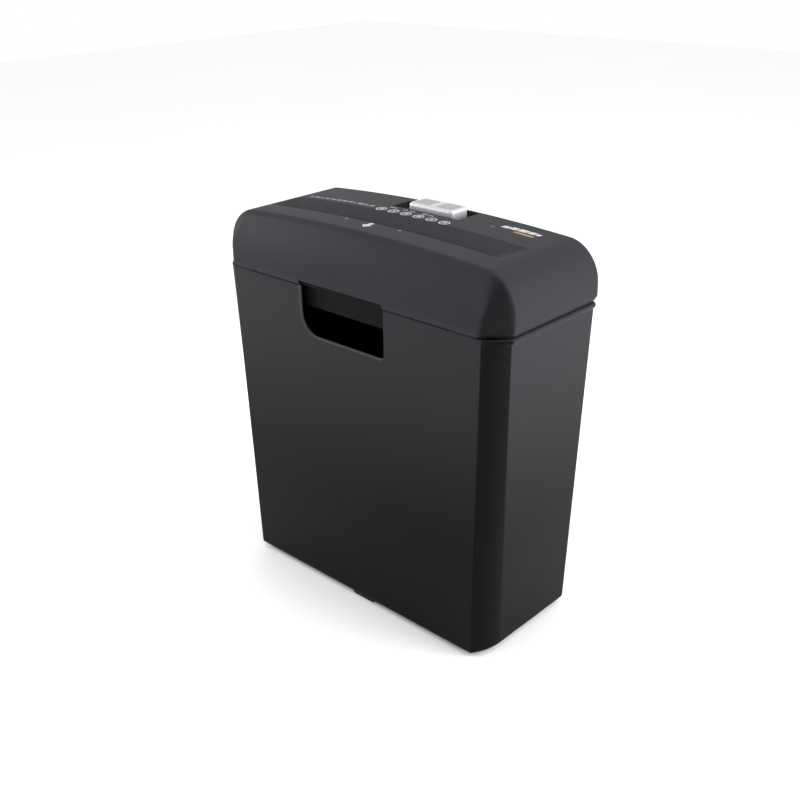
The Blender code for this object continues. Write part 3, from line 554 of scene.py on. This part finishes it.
def window_cutter():
    """The hand hole's shape, opening out a little at the front so that its edge is rounded."""
    flare = (
        (-0.0720, 0.0040), (-0.0622, 0.0011), (-0.0614, 0.0003), (-0.0606, 0.0), (-0.0480, 0.0),
    )
    rings = []
    for y, grow in flare:
        outline = notch_outline(
            (WINDOW_X[0] - grow, WINDOW_X[1] + grow), WINDOW_SILL_Z - grow, SEAM_Z + 0.01,
            [radius + grow for radius in WINDOW_RADII],
        )
        rings.append([(x, y, z) for x, z in outline])
    # The cut faces take this tool's lighter rim colour, a painted highlight.
    return loft("window_cutter", rings, RIM_PAINTED_HIGHLIGHT)


def waste_bin():
    foot = ((0.0, 0.0030), (0.0003, 0.0017), (0.0010, 0.0007), (0.0022, 0.0001), (0.0034, 0.0))
    wall = ((0.100, 0.0), (0.200, 0.0), (0.2850, 0.0))
    bead = (
        (0.2862, 0.0006), (0.2872, 0.0015), (0.2880, 0.0018), (0.2890, 0.0018), (0.2900, 0.0013),
    )
    floor_round = ((0.0085, 0.0003), (0.0045, 0.0016), (0.0028, 0.0040), (0.0025, 0.0080))
    rings = [bin_ring(BIN_LOW_Z + rise, inset) for rise, inset in foot]
    rings += [bin_ring(z, 0.0, push) for z, push in wall + bead]
    rings += [bin_ring(RIM_Z - 0.0002, 0.0002, 0.0006), bin_ring(RIM_Z, 0.0006)]
    rings += [bin_ring(RIM_Z, WALL - 0.0005), bin_ring(RIM_Z - 0.0004, WALL), bin_ring(0.150, WALL)]
    rings += [bin_ring(BIN_LOW_Z + rise, WALL + inset) for rise, inset in floor_round]
    shell = loft("bin_shell", rings, BIN_PLASTIC)
    cut(shell, [window_cutter()])
    weigh_normals(shell)
    fit(shell, "bin", "black_plastic", "waste_bin")

    rings = []
    for z, shrink in ((0.2847, 0.0012), (0.2862, 0.0), (0.2888, 0.0), (0.2892, 0.0006)):
        outline = rounded_box_outline(
            (LEDGE_X[0], LEDGE_X[1] - shrink), (LEDGE_Y[0] + shrink, LEDGE_Y[1] - shrink),
            [0.0012] * 4, 3,
        )
        rings.append([(x, y, z) for x, y in outline])
    fit(loft("interlock_ledge", rings, BIN_PLASTIC), "bin", "black_plastic")


def turned(name, profile, centre, material, along_y=False, count=40):
    """A solid of revolution about Z or Y, from (radius, place along the axis) pairs."""
    rings = []
    for radius, along in profile:
        ring = []
        for i in range(count):
            angle = math.tau * i / count
            u = centre[0] + radius * math.cos(angle)
            v = centre[1] + radius * math.sin(angle)
            ring.append((u, along, v) if along_y else (u, v, along))
        rings.append(ring)
    return loft(name, rings, material)


def feet():
    """Four dished rubber pads, and the moulded lobe under the middle of the front."""
    profile = [
        (0.0030, 0.0009), (0.0042, 0.0009), (0.0056, 0.0003), (0.0066, 0.0), (0.0084, 0.0),
        (0.0094, 0.0003), (0.0100, 0.0010), (0.0105, 0.0024), (0.0106, 0.0040),
    ]
    for side, x in (("left", -FOOT_X), ("right", FOOT_X)):
        for end, y in (("front", -FOOT_Y), ("rear", FOOT_Y)):
            pad = turned(f"foot_pad_{side}_{end}", profile, (x, y), RUBBER)
            fit(pad, "bin", "rubber", f"foot_{side}_{end}")
    nose = ((-0.0578, 0.0014), (-0.0575, 0.0006), (-0.0568, 0.0001), (-0.0560, 0.0), (-0.0490, 0.0))
    rings = []
    for y, shrink in nose:
        outline = notch_outline(
            (LOBE_X[0] + shrink, LOBE_X[1] - shrink), shrink, LOBE_TOP_Z, [LOBE_RADIUS] * 2, 6
        )
        rings.append([(x, y, z) for x, z in outline])
    lobe = loft("front_lobe", rings, BIN_PLASTIC)
    fit(lobe, "bin", "black_plastic", "foot_front_centre")


# ---- head cover ----------------------------------------------------------------------------------
def crown_drop(x):
    return CROWN * (x / (HEAD_HALF_WIDTH - END_X)) ** 2


def top_z(x):
    """Height of the head's top over x, round ends included."""
    middle = HEAD_HALF_WIDTH - END_X
    if abs(x) <= middle:
        return TOP_Z - crown_drop(x)
    share = min((abs(x) - middle) / END_X, 1.0)
    return TOP_Z - CROWN - END_Z + END_Z * math.sqrt(1 - share * share)


def arch(inset, low, corner_steps, top_steps):
    """Front view of the head, right foot to left foot, moved in by the inset."""
    width, top = HEAD_HALF_WIDTH - inset, TOP_Z - inset
    radius_x, radius_z = max(END_X - inset, 0.002), max(END_Z - inset, 0.002)
    middle_x = width - radius_x
    middle_z = top - crown_drop(middle_x) - radius_z
    rises = (0.0, 0.0012, 0.0025, 0.0038, 0.0050, 0.0080)
    half = []
    for i, rise in enumerate(rises):
        half.append((width, low + min(rise, (middle_z - low) * i / len(rises))))
    for i in range(corner_steps + 1):
        angle = math.radians(90 * i / corner_steps)
        half.append((
            middle_x + radius_x * math.cos(angle), middle_z + radius_z * math.sin(angle),
        ))
    for i in range(1, top_steps):
        x = middle_x * (1 - i / top_steps)
        half.append((x, top - crown_drop(x)))
    return half + [(0.0, top)] + [(-x, z) for x, z in reversed(half)]


def face_bulge(x, z, inset, depth, slope):
    """How far the front or back stands out from its edge: a bevel, blended into a bowed face."""
    middle = HEAD_HALF_WIDTH - END_X
    height = (z + crown_drop(min(abs(x), middle)) - SEAM_Z) / (TOP_Z - SEAM_Z)
    face = depth * (1 - min(max(height, 0.0), 1.0) ** 2.1)
    return max(smooth_min(inset * slope, face, min(0.0022, depth * 0.4, inset * 0.35)), 0.0)


def head_face(side, edge, depth, slope, reach, shrink):
    """Sections of the head's front (side -1) or back (side 1), from its top edge down.

    Each is an inset and a function that gives y at an x and z. The top edge is rounded along a
    parabola over the reach, and the face bulges out from there.
    """
    insets = [0.9, 1.6, 2.6, 4, 6, 8, 10, 11.5, 13, 14.5, 16, 17.5, 19, 21, 24, 28, 32, 36, 40, 44]

    def rounded(share):
        return lambda x, z: (
            edge - side * (reach * 1.3 * (1 - share) ** 2 + shrink)
            + side * share**2 * face_bulge(x, z, reach, depth, slope)
        )

    def bulging(inset):
        return lambda x, z: edge + side * (face_bulge(x, z, inset, depth, slope) - shrink)

    sections = [(reach * share**2, rounded(share)) for share in (0.0, 0.2, 0.4, 0.6, 0.8)]
    for inset in [reach * 1000] + [i for i in insets if i > reach * 1000 + 0.3]:
        sections.append((inset / 1000, bulging(inset / 1000)))
    return sections


def head_solid(name, shrink, low, corner_steps=14, top_steps=12, lip=True):
    """The head as one closed body: a straight arch between a bowed front and a bowed back."""
    front = head_face(-1, FRONT_EDGE_Y, FRONT_BULGE, FRONT_SLOPE, FRONT_ROUND, shrink)
    back = head_face(1, BACK_EDGE_Y, BACK_BULGE, BACK_SLOPE, BACK_ROUND, shrink)
    rings = []
    for sections, order in ((front, -1), (back, 1)):
        # Below the last section, the face goes on flat down to the seam.
        levels = [(inset, y_at, None) for inset, y_at in sections]
        levels += [(*sections[-1], flat) for flat in (low + 0.0050, low + 0.0025, low)]
        for inset, y_at, flat in levels[::order]:
            ring = []
            for x, z in arch(inset + shrink, low, corner_steps, top_steps):
                ring.append((x, y_at(x, z), z if flat is None else min(z, flat)))
            rings.append(ring)
    bm = bmesh.new()
    rows = []
    for ring in rings:
        row = []
        for x, y, z in ring:
            if lip and z < low + LIP_HEIGHT:
                tuck = LIP_UNDERCUT * ((low + LIP_HEIGHT - z) / LIP_HEIGHT) ** 1.5
                x *= 1 - tuck / HEAD_HALF_WIDTH
                y *= 1 - tuck / HEAD_HALF_DEPTH
            row.append(bm.verts.new((x, y, z)))
        rows.append(row)
    for lower, upper in zip(rows, rows[1:]):
        for i in range(len(lower) - 1):
            bm.faces.new((lower[i], lower[i + 1], upper[i + 1], upper[i]))
    bmesh.ops.remove_doubles(bm, verts=bm.verts, dist=0.000005)
    bmesh.ops.dissolve_degenerate(bm, edges=bm.edges, dist=0.000004)
    bmesh.ops.holes_fill(bm, edges=[e for e in bm.edges if e.is_boundary], sides=0)
    return finish_mesh(name, bm, HEAD_PLASTIC, 30.0)


def widened(span, grow):
    return span[0] - grow, span[1] + grow


def throat_tool(name, grow=0.0):
    """Slot and funnel. The mouth's edge opens out in a small radius along the crowned top."""
    def between(narrow, wide, share):
        return tuple(n + (w - n) * share for n, w in zip(narrow, wide))

    funnel = (
        (-0.0040, 0.0), (0.0100, 0.0), (0.0112, 0.04), (0.0130, 0.17), (0.0158, 0.46),
        (0.0188, 0.80), (THROAT_RISE, 0.955),
    )
    lips = ((0.0006, 0.0), (0.0002, 0.0008), (0.00003, 0.0018), (-0.0003, 0.0030), (-0.020, 0.0034))
    slot_x, slot_y = widened(SLOT_X, grow), widened(SLOT_Y, grow)
    throat_x, throat_y = widened(THROAT_X, grow), widened(THROAT_Y, grow)
    rings = []
    for rise, share in funnel:
        xs, ys = between(slot_x, throat_x, share), between(slot_y, throat_y, share)
        crown_share = max(rise / THROAT_RISE, 0.0) ** 2
        outline = with_long_edges(rounded_box_outline(xs, ys, [0.0020 + 0.0040 * share] * 4))
        rings.append([
            (x, y, THROAT_FLOOR_Z + rise - (TOP_Z - top_z(x)) * crown_share) for x, y in outline
        ])
    for drop, flare in lips:
        outline = with_long_edges(rounded_box_outline(
            widened(throat_x, flare), widened(throat_y, flare), [0.0060 + flare] * 4
        ))
        rings.append([(x, y, top_z(x) - drop) for x, y in outline])
    return loft(name, rings, HEAD_PLASTIC)


def recess_tool(name, grow=0.0):
    floor_z = RECESS_FLOOR_Z - grow
    levels = (
        (floor_z, -0.0008), (floor_z + 0.0002, -0.0003), (floor_z + 0.0008, 0.0),
        (TOP_Z - 0.0005, 0.0), (TOP_Z - 0.00005, 0.0006), (TOP_Z + 0.02, 0.0009),
    )
    rings = []
    for z, flare in levels:
        outline = rounded_box_outline(
            widened(RECESS_X, grow + flare), widened(RECESS_Y, grow + flare),
            [0.0020, 0.0020, 0.0100, 0.0020],
        )
        rings.append([(x, y, z) for x, y in outline])
    return loft(name, rings, HEAD_PLASTIC)


def block_tool(name, low, high):
    outline = rounded_box_outline((low[0], high[0]), (low[1], high[1]), [0.0004] * 4, 2)
    rings = [[(x, y, z) for x, y in outline] for z in (low[2], high[2])]
    return loft(name, rings, HEAD_PLASTIC)


def head_cover():
    """A hollow moulding with the throat, the switch's recess and the small openings cut through."""
    hollow = head_solid("head_hollow", WALL, SEAM_Z - 0.006, 8, 6, lip=False)
    cut(hollow, [throat_tool("throat_wall", WALL), recess_tool("recess_wall", WALL)])
    cover = head_solid("head_shell", 0.0, SEAM_Z)
    tools = [
        hollow,
        throat_tool("throat"),
        recess_tool("recess"),
        block_tool("stem_slot", (-0.0090, 0.0380, 0.3240), (0.0190, 0.0480, 0.3400)),
        block_tool("sensor_notch", (-0.0082, -0.0180, 0.3160), (-0.0018, 0.0095, 0.3350)),
        block_tool(
            "grip_notch",
            (WINDOW_X[0] - 0.0002, -0.0760, 0.2850), (WINDOW_X[1] + 0.0002, -0.0575, GRIP_TOP_Z),
        ),
        turned(
            "inlet_hole", [(CORD_INLET_RADIUS, y) for y in (0.050, 0.060, 0.080)],
            (CORD_INLET_X, CORD_INLET_Z), HEAD_PLASTIC, along_y=True,
        ),
    ]
    cut(cover, tools)
    weigh_normals(cover, 30.0)
    fit(cover, "head", "black_plastic", "head_cover")


# ---- slide switch --------------------------------------------------------------------------------
def switch_slider():
    """Silver button with two dished halves, a ribbed pad in each, and a stem through the head."""
    low, top = SLIDER_Z
    middle = sum(SLIDER_X) / 2
    sides = (
        (low, 0.0006), (low + 0.0006, 0.0), (top - 0.0030, 0.0), (top - 0.0012, 0.0004),
        (top - 0.0004, 0.0011), (top, 0.0021),
    )
    rings = []
    for z, inset in sides:
        outline = rounded_box_outline(
            widened(SLIDER_X, -inset), widened(SLIDER_Y, -inset), [0.0034 - inset * 0.5] * 4
        )
        rings.append([(x, y, z) for x, y in outline])
    body = loft("slider_body", rings, SWITCH_SILVER)

    dish = (
        (top - 0.0016, -0.0006), (top - 0.0013, 0.0), (top - 0.0002, 0.0002),
        (top + 0.0004, 0.0008), (top + 0.004, 0.0010),
    )
    dish_y = (SLIDER_Y[0] + 0.0032, SLIDER_Y[1] - 0.0030)
    halves = {
        "left": (SLIDER_X[0] + 0.0030, middle - 0.0030),
        "right": (middle + 0.0030, SLIDER_X[1] - 0.0030),
    }
    tools = []
    for side, dish_x in halves.items():
        rings = []
        for z, grow in dish:
            outline = rounded_box_outline(
                widened(dish_x, grow), widened(dish_y, grow), [0.0022] * 4
            )
            rings.append([(x, y, z) for x, y in outline])
        tools.append(loft(f"{side}_dish", rings, SWITCH_SILVER))
    stem = block_tool(
        "stem",
        (middle - STEM_HALF_WIDTH, STEM_Y[0], STEM_LOW_Z),
        (middle + STEM_HALF_WIDTH, STEM_Y[1], low + 0.001),
    )
    cut(body, tools)
    cut(body, [stem], "UNION")
    weigh_normals(body, 32.0)
    fit(body, "slider", "silver_plastic", "switch_slider")
    pad_y = (SLIDER_Y[0] + 0.0038, SLIDER_Y[1] - 0.0036)
    for side, dish_x in halves.items():
        ribbed_pad(f"slider_pad_{side}", widened(dish_x, -0.0004), pad_y, top - 0.0013)


def ribbed_pad(name, xs, ys, base):
    """Grip pad: fine ribs across the direction in which the switch slides."""
    count, flat = 9, 0.0003
    rib = ((0.0, flat), (0.22, flat), (0.38, 0.0009), (0.5, 0.0011), (0.62, 0.0009), (0.78, flat))
    ends = ((0.0, 0.0), (0.0002, 0.7), (0.0008, 1.0))
    step = (xs[1] - xs[0]) / count
    columns = []
    for i in range(count):
        start = xs[0] + i * step
        columns += [(start + share * step, height) for share, height in rib]
    columns.append((xs[1], flat))
    lines = [(ys[0] + along, share) for along, share in ends]
    lines += [(ys[1] - along, share) for along, share in reversed(ends)]
    bm = bmesh.new()
    rows = []
    for y, share in lines:
        rows.append([bm.verts.new((x, y, base + 0.0001 + height * share)) for x, height in columns])
    for lower, upper in zip(rows, rows[1:]):
        for i in range(len(lower) - 1):
            bm.faces.new((lower[i], lower[i + 1], upper[i + 1], upper[i]))
    skirt = bmesh.ops.extrude_edge_only(bm, edges=[e for e in bm.edges if e.is_boundary])
    for element in skirt["geom"]:
        if isinstance(element, bmesh.types.BMVert):
            element.co.z = base - 0.0004
    bmesh.ops.holes_fill(bm, edges=[e for e in bm.edges if e.is_boundary], sides=0)
    pad = finish_mesh(name, bm, PAD_GREY, 50.0)
    fit(pad, "slider", "silver_plastic")


# ---- printing on the top -------------------------------------------------------------------------
def printed(name, shapes, material):
    """Thin ink that follows the top. A shape is (outline, hole) in plan; a hole can be None."""
    thickness, sunk = 0.00008, 0.00006
    bm = bmesh.new()
    for outline, hole in shapes:
        layers = []
        for loop in (outline, hole):
            if loop:
                layers.append([
                    [bm.verts.new((x, y, top_z(x) + z)) for x, y in loop]
                    for z in (-sunk, thickness)
                ])
        for low, high in layers:
            count = len(low)
            for i in range(count):
                j = (i + 1) % count
                bm.faces.new((low[i], low[j], high[j], high[i]))
        for level in (0, 1):
            if hole:
                outer, inner = layers[0][level], layers[1][level]
                count = len(outer)
                for i in range(count):
                    j = (i + 1) % count
                    bm.faces.new((outer[i], outer[j], inner[j], inner[i]))
            else:
                bm.faces.new(layers[0][level])
    fit(finish_mesh(name, bm, material, 60.0), "head", "black_plastic")


def disc(x, y, radius, count=28):
    turns = [math.tau * i / count for i in range(count)]
    return [(x + radius * math.cos(turn), y + radius * math.sin(turn)) for turn in turns]


def bar(x0, x1, y0, y1, slant=0.0):
    return [(x0, y0), (x1, y0), (x1 + slant, y1), (x0 + slant, y1)]


def round_symbols():
    """A row of ringed signs over a short base line: a sheet, a disc and a pair of leaves, twice."""
    shapes = []
    for i in range(SYMBOL_COUNT):
        x, y = SYMBOL_X + SYMBOL_STEP * i, SYMBOL_Y
        shapes.append((disc(x, y, 0.0049), disc(x, y, 0.0040)))
        shapes.append((bar(x - 0.0024, x + 0.0024, y - 0.0016, y - 0.0007), None))
        if i % 3 == 0:
            shapes.append((bar(x - 0.0017, x + 0.0017, y + 0.0002, y + 0.0026), None))
        elif i % 3 == 1:
            shapes.append((disc(x, y + 0.0013, 0.0012, 16), None))
        else:
            shapes.append((bar(x - 0.0022, x - 0.0004, y + 0.0002, y + 0.0024, 0.0008), None))
            shapes.append((bar(x + 0.0006, x + 0.0022, y + 0.0002, y + 0.0024, -0.0008), None))
    return shapes


def small_print():
    """Dashes in place of a line of small print: length and height of each in tenths of a mm."""
    strokes = (
        (40, 24), (60, 28), (30, 20), (50, 26), (70, 28), (40, 36),
        (60, 32), (40, 38), (30, 22), (70, 36), (40, 28), (50, 32),
    )
    shapes = []
    x = SMALL_PRINT_X
    for length, height in strokes:
        right = x + length / 10000
        shapes.append((bar(x, right, SMALL_PRINT_Y, SMALL_PRINT_Y + height / 10000), None))
        x = right + SMALL_PRINT_GAP
    return shapes


def prints():
    printed("print_symbols", round_symbols(), PRINT_WHITE)
    printed("print_dashes", small_print(), PRINT_SOFT)
    arrow_head = [(-0.0098, -0.0290), (0.0002, -0.0290), (-0.0048, -0.0345)]
    arrow_shaft = bar(-0.0068, -0.0028, -0.0289, -0.0225)
    printed("print_arrow", [(arrow_head, None), (arrow_shaft, None)], PRINT_WHITE)
    printed("print_small_dash", [(bar(0.0712, 0.0745, 0.0352, 0.0368), None)], PRINT_FAINT)
    edge_dots = [(disc(x, -0.0240, 0.0016, 18), None) for x in (-0.0339, 0.0263)]
    printed("print_edge_dots", edge_dots, PRINT_FAINT)
    labels = [
        (bar(-0.0290, -0.0230, 0.0248, 0.0266), None),
        ([(-0.0315, 0.0257), (-0.0290, 0.0240), (-0.0290, 0.0274)], None),
        (disc(-0.0130, 0.0257, 0.0021, 20), disc(-0.0130, 0.0257, 0.0012, 20)),
        (bar(-0.0080, -0.0020, 0.0248, 0.0266), None),
        (bar(0.0060, 0.0120, 0.0244, 0.0272), None),
        (bar(0.0135, 0.0190, 0.0244, 0.0264), None),
    ]
    printed("print_switch_labels", labels, PRINT_SOFT)
    mark = [
        (bar(0.0775, 0.0840, 0.0405, 0.0455, 0.0015), None),
        (bar(0.0852, 0.0915, 0.0410, 0.0470, 0.0015), None),
        (bar(0.0928, 0.1010, 0.0415, 0.0475, 0.0015), None),
        (bar(0.1022, 0.1085, 0.0420, 0.0475, 0.0015), None),
        (bar(0.1097, 0.1140, 0.0425, 0.0465, 0.0010), None),
    ]
    printed("print_mark", mark, PRINT_WHITE)
    mark_line = bar(0.0930, 0.1120, 0.0355, 0.0392, 0.0010)
    printed("print_mark_line", [(mark_line, None)], PRINT_ORANGE)


# ---- carried-over pieces -------------------------------------------------------------------------
# Finishes of the frame's own solids: by node where one is named here, or else by material slot.
BY_NODE = {
    # head_base takes the near-black tray colour, which is painted shade.
    "head_base": TRAY_PLASTIC_PAINTED_SHADE,
    "cord_inlet_bush": RUBBER,
    "power_board": BOARD,
    "motor_can": PLATE_STEEL,
    "gear_bearing_plate": PLATE_STEEL,
    "side_plate_left": PLATE_STEEL,
    "side_plate_right": PLATE_STEEL,
    "cutter_front": CUTTER_STEEL,
    "cutter_rear": CUTTER_STEEL,
}
BY_SLOT = {
    "steel": PIN_STEEL,
    "gear_plastic": ACETAL,
    "dark_plastic": BLACK_PART,
    "rubber": RUBBER,
    "black_plastic": BIN_PLASTIC,
    "silver_plastic": SWITCH_SILVER,
    "circuit_board": BOARD,
}


def carried_over():
    """Gives every solid of the frame its finish and eased edges."""
    slots = {part["node"]: part["material_slot"] for part in frame["record"]["subparts"]}
    for name, obj in frame["nodes"].items():
        finish = BY_NODE.get(name, BY_SLOT[slots[name]])
        if not obj.material_slots:
            obj.data.materials.append(finish)
        for slot in obj.material_slots:
            slot.material = finish
        ease_edges(obj)


# ---- floor, light and camera ---------------------------------------------------------------------
def floor():
    bm = bmesh.new()
    bmesh.ops.create_grid(bm, x_segments=8, y_segments=8, size=4.0)
    made, tree, shader = new_material("pale_floor", (0.85, 0.85, 0.85))
    place = node(tree, "ShaderNodeTexCoord")
    soft = node(tree, "ShaderNodeTexNoise", values={"Scale": 3.0, "Detail": 2.0},
                links=[(place.outputs["Object"], "Vector")])
    tint = node(tree, "ShaderNodeMapRange", values={"To Min": 0.93, "To Max": 0.96},
                links=[(soft.outputs["Fac"], "Value")])
    tree.links.new(tint.outputs[0], shader.inputs["Base Color"])
    shader.inputs["Roughness"].default_value = 0.9
    finish_mesh("floor", bm, made)


def area_light(name, place, target, width, power):
    """A square lamp turned towards its target."""
    data = bpy.data.lights.new(name, "AREA")
    data.shape = "SQUARE"
    data.size = width
    data.energy = power
    obj = bpy.data.objects.new(name, data)
    obj.location = place
    obj.rotation_euler = (Vector(target) - Vector(place)).to_track_quat("-Z", "Y").to_euler()
    bpy.context.scene.collection.objects.link(obj)


def lights():
    """A white studio: even light all round, with soft lamps above and to either side."""
    world = bpy.data.worlds.new("studio")
    bpy.context.scene.world = world
    world.use_nodes = True
    background = world.node_tree.nodes["Background"]
    background.inputs["Color"].default_value = (1, 1, 1, 1)
    background.inputs["Strength"].default_value = 1.0
    area_light("overhead", (-0.1, 0.3, 1.6), (0, 0, 0.20), 1.4, 5.0)
    area_light("right_side", (1.4, 0.55, 0.75), (0.1, 0, 0.30), 1.2, 26.0)
    area_light("left_top", (-1.1, -0.5, 0.6), (-0.15, 0, 0.30), 0.5, 8.0)


def camera():
    """Looks down at the front from the right, with a slight roll."""
    azimuth, pitch, roll = (math.radians(angle) for angle in CAMERA_TURNS)
    right = Vector((math.cos(azimuth), math.sin(azimuth), 0))
    back = Vector((
        math.sin(azimuth) * math.cos(pitch), -math.cos(azimuth) * math.cos(pitch), math.sin(pitch),
    ))
    down = (-back).cross(right)
    turned_right = right * math.cos(roll) + down * math.sin(roll)
    up = right * math.sin(roll) - down * math.cos(roll)
    data = bpy.data.cameras.new("camera")
    data.lens = CAMERA_LENS_MM
    data.sensor_width = 36.0
    data.clip_start = 0.01
    obj = bpy.data.objects.new("camera", data)
    turn = Matrix((turned_right, up, back)).transposed().to_4x4()
    obj.matrix_world = Matrix.Translation(CAMERA_PLACE) @ turn
    bpy.context.scene.collection.objects.link(obj)
    bpy.context.scene.camera = obj


waste_bin()
feet()
head_cover()
switch_slider()
prints()
carried_over()
floor()
lights()
camera()
bpy.context.scene.view_settings.view_transform = "Standard"
